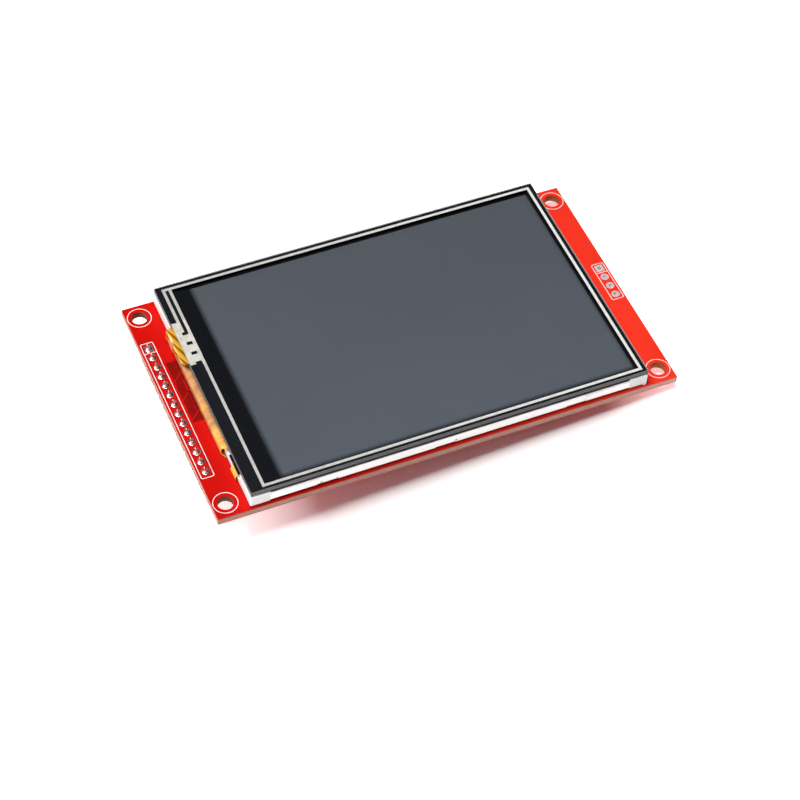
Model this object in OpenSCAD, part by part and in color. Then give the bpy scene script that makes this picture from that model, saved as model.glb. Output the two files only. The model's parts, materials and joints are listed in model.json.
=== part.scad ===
// TFT display module: a resistive touch panel on a backlit liquid crystal display,
// taped to the front of a circuit board with a pin header and a memory card socket behind.
// Origin: centre of the four mounting holes, on the front face of the board.
// +X runs from the pin header to the other end, +Z points out of the screen.

/* [Circuit board] */
// Length of the board
board_l = 98; // [96:0.5:104]
// Width of the board
board_w = 56.34; // [56.1:0.01:62]
// Thickness of the board
board_t = 1.6; // [1:0.1:2.4]
// Diameter of the mounting holes
hole_d = 3.2; // [2.6:0.1:3.4]
// Distance from the short edges to the mounting hole centres
hole_inset_x = 2.7; // [2.4:0.05:3]
// Distance from the long edges to the mounting hole centres
hole_inset_y = 3.27; // [2.8:0.01:3.6]
// Width of the printed lines
print_line = 0.15; // [0.1:0.05:0.4]
// Space between a mounting hole and the ring printed round it
ring_gap = 0.75; // [0.5:0.05:1]
// Thickness of the printed lines
print_t = 0.03; // [0.02:0.01:0.06]
// Thickness of the copper pads that stand proud of the board
pad_t = 0.05; // [0.03:0.01:0.1]

/* [Pin header] */
// Number of header pins
pin_count = 14; // [6:1:15]
// Distance between neighbouring pins and holes
pin_pitch = 2.54; // [2.4:0.01:2.6]
// Width of a square pin
pin_w = 0.64; // [0.5:0.01:0.68]
// Length of the pins below the plastic base
pin_reach = 6; // [5:0.5:12]
// Length of the pin tails above the front of the board
pin_tail = 1.45; // [1.2:0.05:2.5]
// Height and width of the plastic base
base_size = 2.5; // [2.2:0.05:2.5]
// Distance from the short edges to the pin rows
row_inset = 1.75; // [1.6:0.05:2]
// Inner diameter of the plated holes
plated_d = 1.02; // [1:0.01:1.1]
// Width of the pads round the plated holes
pad_d = 1.7; // [1.5:0.05:1.9]
// Height of a solder cone
cone_h = 1.05; // [0.7:0.05:1.15]
// Radius of a solder cone's hollow flank
cone_flank_r = 1.5; // [1.2:0.05:2.5]
// Width of the rims at the foot and neck of a solder cone
cone_rim = 0.05; // [0.04:0.01:0.1]
// Space between the pin header's base and its printed outline
header_outline_gap = 0.125; // [0.1:0.005:0.2]
// How far the pin header's outline runs past its end cells
header_outline_over = 0.3; // [0:0.05:0.4]

/* [Card header] */
// Number of holes in the card header
card_hole_count = 4; // [2:1:8]
// How far the card header's outline runs past its end cells
card_outline_over = 0.1; // [0:0.05:0.4]

/* [Display frame] */
// Distance from the short edges of the board to the display's plastic frame
frame_end_gap = 6.7; // [6.2:0.1:8]
// Width of the display's plastic frame
frame_w = 55.4; // [54.5:0.05:55.6]
// Offset of the display across the board
display_y = -0.05; // [-0.25:0.05:0.25]
// Wall of the frame along the long sides
side_wall = 0.8; // [0.7:0.05:1]
// Wall of the frame at the plain end
end_wall = 1.1; // [0.9:0.05:1.5]
// Wall of the frame at the end where the flexes come out
flex_wall = 1.5; // [1.3:0.05:1.7]
// Width of the ledge that carries the display cell
ledge_w = 0.9; // [0.6:0.05:1]
// Length of the solid corner blocks
corner_l = 4.1; // [3.5:0.1:6]
// Depth of the solid corner blocks
corner_d = 1.2; // [1:0.1:2]
// Corner radius of the frame
frame_r = 0.3; // [0.2:0.05:0.45]
// Length and width of the feet under the corners at the plain end
foot_size = 0.9; // [0.6:0.1:1.2]
// Loose fit between pieces that drop into one another
fit_gap = 0.1; // [0.05:0.01:0.14]

/* [Steel tray] */
// Thickness of the steel sheet
tray_t = 0.2; // [0.15:0.05:0.3]
// Outer radius of the tray's bends
bend_r = 0.35; // [0.32:0.01:0.5]
// Height of the long walls at mid-length, above the tray's underside
wall_h = 2.3; // [2.1:0.05:2.4]
// How much lower the walls are near their ends
wall_drop = 0.35; // [0.2:0.05:0.5]
// Distance from the middle to the step in the walls
step_x = 28.4; // [15:0.1:32]
// Radius at the upper corners of the walls
wall_corner_r = 0.8; // [0.4:0.1:1.2]
// Length of the clip slots at the foot of the walls
clip_l = 4.2; // [3:0.1:5]
// Height of the clip slots
clip_h = 0.45; // [0.4:0.05:0.6]
// Distance of the outer clip slots from mid-length
clip_spacing = 26.5; // [20:0.1:28]
// Place of the middle clip slot, measured from mid-length
mid_clip_x = -1.8; // [-4:0.1:4]

/* [Layers] */
// Thickness of the foam tape under the display
foam_t = 0.5; // [0.4:0.05:0.8]
// Width of the foam strips
foam_w = 5.5; // [4:0.1:6.5]
// Distance from the outside of the frame to the foam strips
foam_inset = 2.2; // [2:0.1:4]
// Thickness of the white reflector
reflector_t = 0.1; // [0.05:0.01:0.2]
// Thickness of the light guide
guide_t = 0.8; // [0.75:0.05:1.2]
// Thickness of one optical film
film_t = 0.1; // [0.08:0.01:0.15]
// Thickness of a polariser
polariser_t = 0.13; // [0.1:0.01:0.2]
// Air space between the films and the rear polariser
film_gap = 0.02; // [0.01:0.01:0.05]
// Thickness of each glass of the display cell
cell_glass_t = 0.5; // [0.4:0.05:0.6]
// Width of the glass ledge that carries the driver chip
cell_ledge = 3.8; // [3.5:0.1:4.5]
// Length of the driver chip
driver_l = 22; // [16:0.5:24]
// Width of the driver chip
driver_w = 1.3; // [1:0.05:1.6]
// Thickness of the driver chip
driver_t = 0.3; // [0.2:0.05:0.4]
// Space between the driver chip and the filter glass
driver_gap = 0.4; // [0.3:0.05:0.6]
// Distance from the edge of the filter glass to the front polariser
polariser_inset = 0.4; // [0.3:0.05:0.6]
// Thickness of the black gasket under the touch panel
gasket_t = 0.2; // [0.1:0.05:0.5]

/* [Touch panel] */
// Distance from the ends of the frame to the touch panel
panel_gap_x = 0.2; // [0.1:0.05:0.3]
// Distance from the long sides of the frame to the touch panel
panel_gap_y = 0.08; // [0.05:0.01:0.3]
// Thickness of the touch glass
touch_glass_t = 0.75; // [0.5:0.05:1.1]
// Thickness of the black insulating layer
spacer_t = 0.1; // [0.08:0.01:0.15]
// Thickness of the printed silver
silver_t = 0.04; // [0.02:0.01:0.06]
// Thickness of the top film
top_film_t = 0.18; // [0.12:0.01:0.3]
// Width of the silver lines
silver_w = 0.6; // [0.5:0.05:0.9]
// Distance from the long edges of the panel to the silver line
silver_inset_y = 0.72; // [0.4:0.01:0.8]
// Distance from the plain end of the panel to the silver line
silver_inset_x = 0.88; // [0.5:0.01:1]
// Distance from the flex end of the panel to the inner silver line
silver_left = 2.6; // [2.5:0.05:3]
// Gap between the inner and the outer silver line
silver_gap = 0.7; // [0.45:0.05:0.8]

/* [Flexes] */
// Thickness of the flexible circuits
flex_t = 0.12; // [0.08:0.01:0.14]
// Width of the display flex
display_flex_w = 27.7; // [24:0.1:28.4]
// Offset of the display flex across the frame
display_flex_y = -1; // [-1.5:0.05:0]
// How far the near edge of the display flex slants back at its fold
flex_slant = 1; // [0.4:0.1:2]
// Fold radius of the display flex
display_fold_r = 0.9; // [0.8:0.05:1]
// Length of the display flex under the tray
display_flex_run = 18; // [12:0.5:22]
// Width of the touch flex where it leaves the panel
touch_flex_w = 10.8; // [10:0.1:11.2]
// Width of the touch flex's narrow tail
touch_tail_w = 4.2; // [3:0.1:4.4]
// Gap between the display flex and the tail of the touch flex
flex_gap = 0.3; // [0.2:0.05:0.8]
// How much the touch flex is drawn in at its far corner
touch_flex_draw = 0.8; // [0.2:0.1:1.2]
// Height over which the touch flex narrows to its tail
touch_taper_h = 2.9; // [1.6:0.1:3]
// Fold radius of the touch flex
touch_fold_r = 1.05; // [0.95:0.05:1.9]
// Width of the backlight flex's tail
led_tail_w = 2.6; // [2:0.1:3]
// Distance from the middle of the frame to the backlight flex's tail
led_tail_y = 19.55; // [19:0.05:20]
// Fold radius of the backlight flex's tail
led_fold_r = 0.7; // [0.5:0.05:0.75]
// Number of backlight diodes
led_count = 6; // [3:1:8]
// Length of a backlight diode
led_l = 3; // [2.4:0.1:3.8]
// Depth of a backlight diode
led_d = 1.2; // [0.8:0.05:1.3]
// Height of a backlight diode
led_h = 0.6; // [0.4:0.05:0.7]

/* [Card socket] */
// Width of the card socket's steel shell
socket_w = 28; // [27.6:0.1:30]
// Length of the card socket
socket_l = 28.5; // [26:0.5:28.5]
// Height of the card socket
socket_h = 2.8; // [2.7:0.05:3.2]
// Distance of the socket's middle from the board's middle
socket_x = 22; // [20:0.5:26]
// Width of the card that it takes
card_w = 24; // [23.5:0.1:24]
// Space round the card
card_gap = 0.2; // [0.1:0.05:0.3]
// Thickness of the socket's plastic floor
socket_floor = 0.4; // [0.3:0.05:0.45]
// Thickness of the socket's steel
socket_t = 0.2; // [0.15:0.05:0.25]
// Radius of the thumb notch at the socket's mouth
thumb_r = 8; // [7:0.5:10]
// Distance from the mouth out to the middle of the thumb notch
thumb_out = 5; // [4:0.5:6]
// Number of card contacts
contact_count = 9; // [7:1:9]
// Distance between the card contacts
contact_pitch = 2.5; // [2.3:0.05:2.5]
// Width of a card contact
contact_w = 1; // [0.8:0.05:1.2]

/* [Chips] */
// Distance from the pin row to the touch controller
controller_x = 33.25; // [31:0.25:36]
// Offset of the touch controller across the board
controller_y = -6; // [-8:0.5:-4]
// Distance from the pin row to the small three-legged chips
small_chip_x = 13.25; // [11:0.25:15]
// Offset of the small three-legged chips to either side
small_chip_y = 14; // [12:0.5:18]
// Distance from the pin row to the first row of resistors
signal_row_x = 6.75; // [5:0.25:8]
// Offset of the first resistor in that row
signal_row_y = -5; // [-8:0.5:0]
// Distance from the pin row to the second row of resistors
pull_row_x = 22.25; // [20:0.25:25]
// Offset of the first resistor in that row
pull_row_y = 6; // [3:0.5:10]
// Distance from the pin row to the third row of resistors
lamp_row_x = 51.25; // [48:0.25:54]
// Offset of the first resistor in that row
lamp_row_y = -18; // [-19:0.5:-12]
// Distance from the pin row to the regulator's capacitors
power_row_x = 17.25; // [16.5:0.25:18]
// Offset of the first capacitor in that row
power_row_y = 8; // [4:0.5:12]
// Distance from the pin row to the backlight's capacitors
boost_row_x = 39.25; // [37:0.25:42]
// Offset of the first capacitor in that row
boost_row_y = -16; // [-19:0.5:-14]
// Distance from the pin row to the controller's capacitors
filter_row_x = 26.25; // [24:0.25:28]
// Offset of the first capacitor in that row
filter_row_y = -14; // [-19:0.5:-12]
// Length of the touch controller's body
chip_l = 5; // [4.9:0.1:6.5]
// Width of the touch controller's body
chip_w = 4.4; // [3.9:0.1:5]
// Height of a chip's body
chip_h = 0.95; // [0.8:0.05:1.2]
// Distance between the touch controller's leads
lead_pitch = 0.65; // [0.5:0.01:0.65]
// Length of a small three-legged chip
small_chip_l = 2.9; // [2.7:0.1:3.1]
// Width of a small three-legged chip
small_chip_w = 1.3; // [1.2:0.05:1.6]
// Length of a chip resistor or capacitor
chip_part_l = 1.6; // [1.4:0.1:2]
// Width of a chip resistor or capacitor
chip_part_w = 0.8; // [0.6:0.05:1.1]
// Distance between neighbours in a row of chip parts
chip_part_pitch = 1.9; // [1.5:0.1:2.2]

/* [Hidden] */
$fn = 48;
cut = 1;                                   // how far a cutting shape runs past what it cuts

// Rows of plated holes
row_x = board_l / 2 - row_inset;
barrel_d = plated_d + 2 * pad_t;
outline_w = base_size + 2 * header_outline_gap;
outline_r = 0.4;
base_z = -board_t - pad_t;                 // the base stands on the pads behind the board
pin_top = pin_tail;
pin_foot = base_z - base_size - pin_reach;
pin_taper = 0.5;
ring_d = hole_d + 2 * (ring_gap + print_line);

// Heights of the layers, from the front face of the board upwards
tray_z = foam_t;
reflector_z = tray_z + tray_t;
guide_z = reflector_z + reflector_t;
films_z = guide_z + guide_t;
rim_z = films_z + 3 * film_t;
rim_t = polariser_t + film_gap;
tft_z = rim_z + rim_t;
filter_z = tft_z + cell_glass_t;
polariser_z = filter_z + cell_glass_t;
gasket_z = polariser_z + polariser_t;      // also the top of the plastic frame
glass_z = gasket_z + gasket_t;
spacer_z = glass_z + touch_glass_t;
silver_z = spacer_z + spacer_t;
top_film_z = silver_z + silver_t;

// Plan areas, each as [left, right, near, far]
frame_end = board_l / 2 - frame_end_gap;
frame = [-frame_end, frame_end, display_y - frame_w / 2, display_y + frame_w / 2];
cell_space = [frame[0] + flex_wall, frame[1] - end_wall,
              frame[2] + side_wall, frame[3] - side_wall];
light_space = inset(cell_space, ledge_w);
cell = inset(cell_space, fit_gap);
filter_area = [cell[0] + cell_ledge, cell[1], cell[2], cell[3]];
polariser_area = inset(filter_area, polariser_inset);
led_zone = led_d + 0.7;
light_area = [light_space[0] + led_zone, light_space[1] - fit_gap,
              light_space[2] + fit_gap, light_space[3] - fit_gap];
led_flex_x1 = light_area[0] + 0.7;
film_area = [led_flex_x1 + fit_gap, light_area[1], light_area[2], light_area[3]];
window = [filter_area[0] + 0.7, light_area[1] - 0.6, light_area[2] + 0.5, light_area[3] - 0.5];
panel = [frame[0] + panel_gap_x, frame[1] - panel_gap_x, frame[2] + panel_gap_y, frame[3] - panel_gap_y];
line_area = [panel[0] + silver_left, panel[1] - silver_inset_x,
             panel[2] + silver_inset_y, panel[3] - silver_inset_y];
line_window = inset(line_area, silver_w);

// Steel tray and its clip slots
wall_x0 = frame[0] + corner_l;
wall_x1 = frame[1] - corner_l;
tray_end = 0.7;                            // how far the tray's floor stops short of the frame's ends
slit_h = clip_h + 0.65;
slit_w = 0.2;
flange_z = tray_z + wall_h + fit_gap;      // top of the frame between its corner blocks

// Edges of the display flex
display_flex_near = display_y + display_flex_y - display_flex_w / 2;
display_flex_far = display_flex_near + display_flex_w;

// Contact block on the touch panel
outer_line_x = line_area[0] - silver_gap - silver_w;
block_far = display_flex_far + flex_gap + touch_tail_w + 0.2;
block_near = block_far - touch_flex_w - 0.7;
finger_pitch = touch_flex_w / 4;
finger_gap = 0.9;

// Flexes
fold_x = frame[0];
touch_flex_near = block_far - touch_flex_w - 0.1;
touch_tail_near = display_flex_far + flex_gap;
touch_shoulder_z = spacer_z - touch_taper_h;
touch_bond = 1.2;                          // how far the touch flex runs in over the glass
touch_flex_run = 6;
led_tail_mid = display_y - led_tail_y;
led_tail_far = led_tail_mid + led_tail_w / 2;
led_tail_near = led_tail_mid - led_tail_w / 2;
led_tail_run = 2.2;
led_way = 1;                               // free way beside the tail
tab_w = 0.1;                               // what shows of the frame's tab beside the tape
solder_count = 18;
solder_pitch = 0.9;
solder_h = 0.3;

// Card socket, flush with the far long edge of the board
socket = [socket_x - socket_w / 2, socket_x + socket_w / 2, board_w / 2 - socket_l, board_w / 2];
socket_z = -board_t - socket_h;            // underside of the shell
socket_bend_r = 0.4;
rail_space = card_w / 2 + card_gap;        // half the width of the card's way in
socket_rear = 3;
groove_w = contact_w + 0.4;
contact_t = 0.15;
contact_reach = 9;

// Chips behind the board
back_z = -board_t;
chip_pos = [controller_x - row_x, controller_y];
chip_lift = 0.1;
lead_t = 0.15;
lead_w = 0.25;
lead_reach = 1;
small_lead_w = 0.4;
small_lead_pitch = 0.95;
regulator_pos = [small_chip_x - row_x, small_chip_y];
transistor_pos = [small_chip_x - row_x, -small_chip_y];
resistor_h = 0.45;
capacitor_h = 0.8;
end_l = 0.3;
resistor_rows = [[signal_row_x - row_x, signal_row_y, 6], [pull_row_x - row_x, pull_row_y, 5],
                 [lamp_row_x - row_x, lamp_row_y, 4]];
capacitor_rows = [[power_row_x - row_x, power_row_y, 3], [boost_row_x - row_x, boost_row_y, 2],
                  [filter_row_x - row_x, filter_row_y, 3]];

// Area a, drawn in by d on every side
function inset(a, d) = [a[0] + d, a[1] - d, a[2] + d, a[3] - d];

// Flat plate over area a
module plate(a, z, t) {
    translate([a[0], a[2], z]) cube([a[1] - a[0], a[3] - a[2], t]);
}

// Flat plate with rounded corners
module round_plate(a, z, t, r) {
    plate([a[0] + r, a[1] - r, a[2], a[3]], z, t);
    plate([a[0], a[1], a[2] + r, a[3] - r], z, t);
    for (x = [a[0] + r, a[1] - r])
        for (y = [a[2] + r, a[3] - r])
            translate([x, y, z]) cylinder(r = r, h = t);
}

// Flat rim: area a less area b
module rim(a, b, z, t) {
    difference() {
        plate(a, z, t);
        plate(b, z - cut, t + 2 * cut);
    }
}

// A profile drawn in Y and Z, run along X
module along_x(x0, x1) {
    translate([x0, 0, 0]) rotate([90, 0, 90]) linear_extrude(x1 - x0) children();
}

// A profile drawn in X and Z, run along Y
module along_y(y0, y1) {
    translate([0, y1, 0]) rotate([90, 0, 0]) linear_extrude(y1 - y0) children();
}

// Upper left quarter of a ring of radius r and thickness t
module quarter_ring(r, t) {
    intersection() {
        difference() {
            circle(r);
            circle(r - t);
        }
        translate([-r, 0]) square(r);
    }
}

// Strip folded round to the left: in at the top, round two bends, back at the bottom
module fold_profile(x, x_top, x_bottom, z0, z1, t, r) {
    translate([x, z1 - t]) square([x_top - x, t]);
    translate([x, z0]) square([x_bottom - x, t]);
    translate([x - r, z0 + r]) square([t, z1 - z0 - 2 * r]);
    translate([x, z1 - r]) quarter_ring(r, t);
    translate([x, z0 + r]) mirror([0, 1]) quarter_ring(r, t);
}

// Places of the mounting holes
module at_mounting_holes() {
    for (x = [-1, 1])
        for (y = [-1, 1])
            translate([x * (board_l / 2 - hole_inset_x), y * (board_w / 2 - hole_inset_y), 0])
                children();
}

// Places of n holes in a row across the board at x, with the first at the far end
module at_row(x, n, from = 0) {
    for (i = [from : n - 1])
        translate([x, ((n - 1) / 2 - i) * pin_pitch, 0]) children();
}

// ---- Circuit board and headers ----

module circuit_board() {
    color("red") difference() {
        translate([-board_l / 2, -board_w / 2, -board_t]) cube([board_l, board_w, board_t]);
        at_mounting_holes() translate([0, 0, -board_t - cut]) cylinder(d = hole_d, h = board_t + 2 * cut);
        at_row(-row_x, pin_count) translate([0, 0, -board_t - cut])
            cylinder(d = barrel_d, h = board_t + 2 * cut);
        at_row(row_x, card_hole_count) translate([0, 0, -board_t - cut])
            cylinder(d = barrel_d, h = board_t + 2 * cut);
    }
}

// Rounded outline round a row of n holes, with a bar after the first hole
module row_outline(x, n, over) {
    half_l = n * pin_pitch / 2 + over;
    a = [x - outline_w / 2, x + outline_w / 2, -half_l, half_l];
    difference() {
        round_plate(a, 0, print_t, outline_r);
        round_plate(inset(a, print_line), -cut, print_t + 2 * cut, outline_r - print_line / 2);
    }
    bar_y = half_l - over - pin_pitch;
    plate([a[0] + print_line / 2, a[1] - print_line / 2, bar_y, bar_y + print_line], 0, print_t);
}

module board_print() {
    color("white") {
        at_mounting_holes() difference() {
            cylinder(d = ring_d, h = print_t);
            translate([0, 0, -cut]) cylinder(d = ring_d - 2 * print_line, h = print_t + 2 * cut);
        }
        row_outline(-row_x, pin_count, header_outline_over);
        row_outline(row_x, card_hole_count, card_outline_over);
    }
}

// Plated hole: a tube through the board with a pad on each face
module plated_hole(square_pad) {
    difference() {
        union() {
            translate([0, 0, -board_t - pad_t]) cylinder(d = barrel_d, h = board_t + 2 * pad_t);
            for (z = [0, -board_t - pad_t])
                translate([0, 0, z])
                    if (square_pad) translate([-pad_d / 2, -pad_d / 2, 0]) cube([pad_d, pad_d, pad_t]);
                    else cylinder(d = pad_d, h = pad_t);
        }
        translate([0, 0, -board_t - cut]) cylinder(d = plated_d, h = board_t + 2 * cut);
    }
}

module plated_row(x, n) {
    at_row(x, 1) translate([0, (n - 1) / 2 * pin_pitch, 0]) plated_hole(true);
    at_row(x, n, 1) plated_hole(false);
}

module header_pads() {
    color("silver") plated_row(-row_x, pin_count);
}

module card_header_pads() {
    color("silver") plated_row(row_x, card_hole_count);
}

// Plan of one cell of the header's base, with its four corners cut away
module base_cell() {
    half = base_size / 2;
    side = pin_pitch / 2;
    nick = 0.4;
    polygon([[-half, -side + nick], [-half + nick, -side], [half - nick, -side], [half, -side + nick],
             [half, side - nick], [half - nick, side], [-half + nick, side], [-half, side - nick]]);
}

module header_base() {
    color("black") difference() {
        translate([0, 0, base_z - base_size]) linear_extrude(base_size)
            at_row(-row_x, pin_count) base_cell();
        at_row(-row_x, pin_count)
            translate([-pin_w / 2, -pin_w / 2, base_z - base_size - cut])
                cube([pin_w, pin_w, base_size + 2 * cut]);
    }
}

// Side view of a pin, with both tips tapered
module pin_side() {
    half = pin_w / 2;
    tip = pin_w / 4;
    polygon([[-tip, pin_foot], [tip, pin_foot], [half, pin_foot + pin_taper], [half, pin_top - pin_taper],
             [tip, pin_top], [-tip, pin_top], [-half, pin_top - pin_taper], [-half, pin_foot + pin_taper]]);
}

module pin() {
    intersection() {
        along_x(-pin_w, pin_w) pin_side();
        along_y(-pin_w, pin_w) pin_side();
    }
}

module header_pins() {
    color("gainsboro") at_row(-row_x, pin_count) pin();
}

// Solder cone with a hollow flank, standing on the pad and filling the plated hole
module solder_cone() {
    foot = pad_d / 2 - cone_rim;
    neck = pin_w * 0.62;
    difference() {
        union() {
            rotate_extrude() difference() {
                polygon([[0, pad_t], [foot, pad_t], [foot, pad_t + cone_rim], [neck, cone_h], [0, cone_h]]);
                translate([neck + cone_flank_r - cone_rim, cone_h - cone_rim]) circle(cone_flank_r);
            }
            translate([0, 0, base_z]) cylinder(d = plated_d, h = -base_z + pad_t);
        }
        translate([-pin_w / 2, -pin_w / 2, base_z - cut])
            cube([pin_w, pin_w, cone_h - base_z + 2 * cut]);
    }
}

module header_solder() {
    color("silver") at_row(-row_x, pin_count) solder_cone();
}

// ---- Backlight ----

module foam_strips() {
    inside = inset(frame, foam_inset);
    x0 = frame[0] + led_tail_run + 1;
    color("dimgray") {
        plate([x0, inside[1], inside[3] - foam_w, inside[3]], 0, foam_t);
        plate([x0, inside[1], inside[2], inside[2] + foam_w], 0, foam_t);
        plate([inside[1] - foam_w, inside[1], inside[2] + foam_w + 1, inside[3] - foam_w - 1], 0, foam_t);
    }
}

// Cross-section of the tray: floor, two bends and two walls
module tray_section() {
    y0 = frame[2];
    y1 = frame[3];
    difference() {
        union() {
            translate([y0, tray_z + bend_r]) square([y1 - y0, wall_h - bend_r]);
            translate([y0 + bend_r, tray_z]) square([y1 - y0 - 2 * bend_r, wall_h]);
            for (y = [y0 + bend_r, y1 - bend_r]) translate([y, tray_z + bend_r]) circle(bend_r);
        }
        r = bend_r - tray_t;
        translate([y0 + tray_t, tray_z + bend_r]) square([y1 - y0 - 2 * tray_t, wall_h]);
        translate([y0 + bend_r, tray_z + tray_t]) square([y1 - y0 - 2 * bend_r, wall_h]);
        for (y = [y0 + bend_r, y1 - bend_r]) translate([y, tray_z + bend_r]) circle(r);
    }
}

// Side view of the long walls, grown by g: high in the middle, lower at rounded ends
module wall_side(g) {
    top = tray_z + wall_h + g;
    low = top - wall_drop;
    r = wall_corner_r;
    x0 = wall_x0 - g;
    x1 = wall_x1 + g;
    translate([-step_x - g, tray_z - cut]) square([2 * (step_x + g), top - tray_z + cut]);
    translate([x0, tray_z - cut]) square([x1 - x0, low - r - tray_z + cut]);
    translate([x0 + r, tray_z - cut]) square([x1 - x0 - 2 * r, low - tray_z + cut]);
    for (x = [x0 + r, x1 - r]) translate([x, low - r]) circle(r);
}

module steel_tray() {
    color("lightgray") difference() {
        union() {
            intersection() {
                along_x(wall_x0, wall_x1) tray_section();
                along_y(frame[2] - cut, frame[3] + cut) wall_side(0);
            }
            plate([frame[0] + tray_end, frame[1] - tray_end, frame[2] + corner_d, frame[3] - corner_d],
                  tray_z, tray_t);
        }
        for (x = [-clip_spacing, mid_clip_x, clip_spacing], y = [frame[2], frame[3]]) {
            plate([x - clip_l / 2, x + clip_l / 2, y - 2 * bend_r, y + 2 * bend_r],
                  tray_z - cut, cut + clip_h);
            plate([x + clip_l / 2 - slit_w, x + clip_l / 2, y - 2 * bend_r, y + 2 * bend_r],
                  tray_z - cut, cut + slit_h);
        }
    }
}

module reflector_film() {
    color("white") plate(inset(light_space, fit_gap), reflector_z, reflector_t);
}

module light_guide() {
    color("azure") plate(light_area, guide_z, guide_t);
}

// Strip over the diodes, with a tail that folds down outside the frame
module backlight_flex() {
    led_z = films_z;
    color("orange") {
        plate([light_space[0] + fit_gap, led_flex_x1, light_area[2], light_area[3]], led_z, film_t);
        along_y(led_tail_near, led_tail_far)
            fold_profile(fold_x + 0.2, light_space[0] + 0.5, fold_x + led_tail_run, 0,
                         led_z + film_t, film_t, led_fold_r);
    }
}

module backlight_leds() {
    spacing = (light_area[3] - light_area[2]) / led_count;
    color("khaki") for (i = [0 : led_count - 1]) {
        y = light_area[2] + (i + 0.5) * spacing;
        plate([light_area[0] - led_d, light_area[0], y - led_l / 2, y + led_l / 2], films_z - led_h, led_h);
    }
}

module diffuser_film() {
    color("whitesmoke") plate(film_area, films_z, film_t);
}

module lower_prism_film() {
    color("lavender") plate(film_area, films_z + film_t, film_t);
}

module upper_prism_film() {
    color("aliceblue") plate(film_area, films_z + 2 * film_t, film_t);
}

module plastic_frame() {
    side = tray_t + fit_gap / 2;
    display_notch_z = filter_z - fit_gap / 2;
    led_notch_z = films_z - fit_gap / 2;
    color("white") difference() {
        union() {
            round_plate(frame, tray_z, gasket_z - tray_z, frame_r);
            // feet at the plain end, down to the board
            for (y = [frame[2] + foot_size / 2, frame[3] - foot_size / 2])
                round_plate([frame[1] - foot_size, frame[1], y - foot_size / 2, y + foot_size / 2],
                            0, tray_z + cut, frame_r);
        }
        plate(cell_space, rim_z, gasket_z);
        plate(light_space, tray_z - cut, gasket_z);
        // room for the tray's floor
        plate([frame[0] + tray_end, frame[1] - tray_end, frame[2] + corner_d, frame[3] - corner_d],
              tray_z - cut, tray_t + cut);
        // room for the tray's walls and bends
        for (y = [[frame[2] - cut, frame[2] + side], [frame[3] - side, frame[3] + cut]])
            along_y(y[0], y[1]) wall_side(fit_gap / 2);
        plate([wall_x0 - fit_gap / 2, wall_x1 + fit_gap / 2, frame[2] - cut, frame[3] + cut],
              tray_z - cut, bend_r + cut);
        // low long walls between the corner blocks
        for (y = [[frame[2] - cut, cell_space[2] + fit_gap], [cell_space[3] - fit_gap, frame[3] + cut]])
            plate([wall_x0, wall_x1, y[0], y[1]], flange_z, gasket_z);
        // ways out for the flexes, with a low tab between them
        plate([frame[0] - cut, cell_space[0] + cut, display_flex_near - 0.3, display_flex_far + 0.3],
              display_notch_z, gasket_z);
        plate([frame[0] - cut, cell_space[0] + cut, led_tail_near - led_way, display_flex_near],
              rim_z, gasket_z);
        plate([frame[0] - cut, light_space[0] + cut, led_tail_near - led_way, led_tail_far + led_way / 4],
              led_notch_z, gasket_z);
    }
}

// ---- Display cell ----

// Black tape round the window, with a flap over the backlight flex where it leaves
module rim_tape() {
    color("black") {
        rim(cell, window, rim_z, rim_t);
        plate([frame[0] + tab_w, cell[0], led_tail_near - led_way / 2, display_flex_near - led_way],
              rim_z, rim_t);
    }
}

module rear_polariser() {
    color("gray") plate(inset(window, 0.15), tft_z - polariser_t, polariser_t);
}

module tft_glass() {
    color("paleturquoise") plate(cell, tft_z, cell_glass_t);
}

module filter_glass() {
    color("lightcyan") plate(filter_area, filter_z, cell_glass_t);
}

module front_polariser() {
    color("slategray") plate(polariser_area, polariser_z, polariser_t);
}

// Bare silicon bar on the glass ledge, beside the filter glass
module driver_chip() {
    x1 = filter_area[0] - driver_gap;
    color("darkslategray")
        plate([x1 - driver_w, x1, display_y - driver_l / 2, display_y + driver_l / 2], filter_z, driver_t);
}

// Plan of the display flex: full width outside, narrower towards its soldered end
module display_flex_plan() {
    end_x = fold_x + display_flex_run;
    half = solder_count * solder_pitch / 2 + 1;
    mid = (display_flex_near + display_flex_far) / 2;
    polygon([[fold_x - display_fold_r, display_flex_near + flex_slant],
             [fold_x, display_flex_near], [fold_x + 4, display_flex_near],
             [fold_x + 7, mid - half], [end_x, mid - half], [end_x, mid + half],
             [fold_x + 7, mid + half], [fold_x + 4, display_flex_far],
             [fold_x - display_fold_r, display_flex_far]]);
}

module display_flex() {
    color("peru") intersection() {
        along_y(display_flex_near, display_flex_far)
            fold_profile(fold_x, cell[0] + 1.4, fold_x + display_flex_run, 0, filter_z + flex_t,
                         flex_t, display_fold_r);
        linear_extrude(glass_z) display_flex_plan();
    }
}

// Row of solder fillets along the end of the display flex
module flex_solder() {
    end_x = fold_x + display_flex_run;
    mid = (display_flex_near + display_flex_far) / 2;
    color("silver") for (i = [0 : solder_count - 1]) {
        y = mid + (i - (solder_count - 1) / 2) * solder_pitch;
        along_y(y - solder_pitch / 4, y + solder_pitch / 4) intersection() {
            translate([end_x, 0]) circle(solder_h);
            translate([end_x, 0]) square(solder_h);
        }
    }
}

// ---- Touch panel ----

module touch_gasket() {
    overlap = 0.4;
    color("black") rim(inset(panel, 0.2), inset(polariser_area, overlap), gasket_z, gasket_t);
}

module touch_glass() {
    color("lightblue") plate(panel, glass_z, touch_glass_t);
}

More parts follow.
